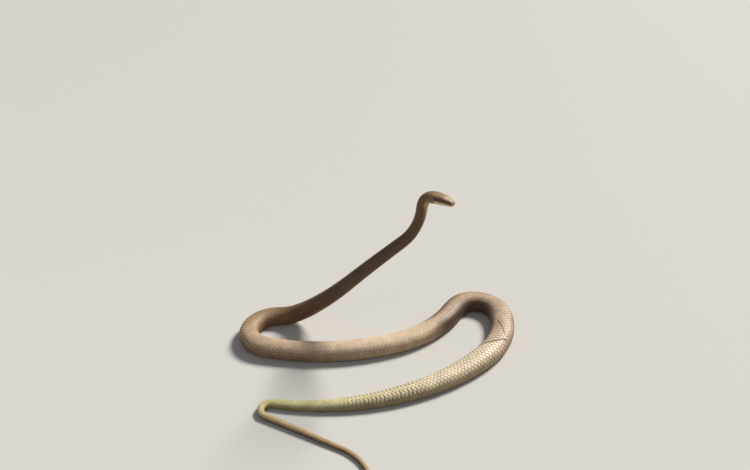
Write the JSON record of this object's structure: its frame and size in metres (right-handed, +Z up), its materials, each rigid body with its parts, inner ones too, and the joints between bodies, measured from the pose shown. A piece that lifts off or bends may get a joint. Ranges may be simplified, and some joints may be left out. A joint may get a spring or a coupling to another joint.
{
  "type": "king cobra",
  "caption": "Life-size still model of a king cobra with head and forebody raised, the trunk and tail lying on the floor in open bends.",
  "frame": {"origin": "on the floor, under the middle of the model's outer box", "axes": "+Z is up; +X is to the right and +Y away when the model is seen as in the picture, with the tail nearest and the raised head pointing right"},
  "size_m": [0.8729, 1.0329, 0.5325],
  "materials": {
    "skin": "satin",
    "eye": "gloss"
  },
  "bodies": {
    "root": {"climb_trunk_1": "skin", "climb_trunk_2": "skin", "eye_left": "eye", "eye_right": "eye", "head": "skin", "landing_trunk": "skin", "loop_foot_trunk_1": "skin", "loop_foot_trunk_2": "skin", "loop_side_trunk_1": "skin", "loop_side_trunk_2": "skin", "loop_top_trunk_1": "skin", "loop_top_trunk_2": "skin", "loop_top_trunk_3": "skin", "lower_jaw": "skin", "near_pass_trunk_1": "skin", "near_pass_trunk_2": "skin", "near_pass_trunk_3": "skin", "neck_1": "skin", "neck_2": "skin", "raised_trunk_1": "skin", "raised_trunk_2": "skin", "second_pass_trunk_1": "skin", "second_pass_trunk_2": "skin", "tail_1": "skin", "tail_2": "skin", "tail_3": "skin", "tail_4": "skin", "tail_bend_1": "skin", "tail_bend_2": "skin", "u_turn_trunk_1": "skin", "u_turn_trunk_2": "skin", "u_turn_trunk_3": "skin"}
  },
  "joints": []
}
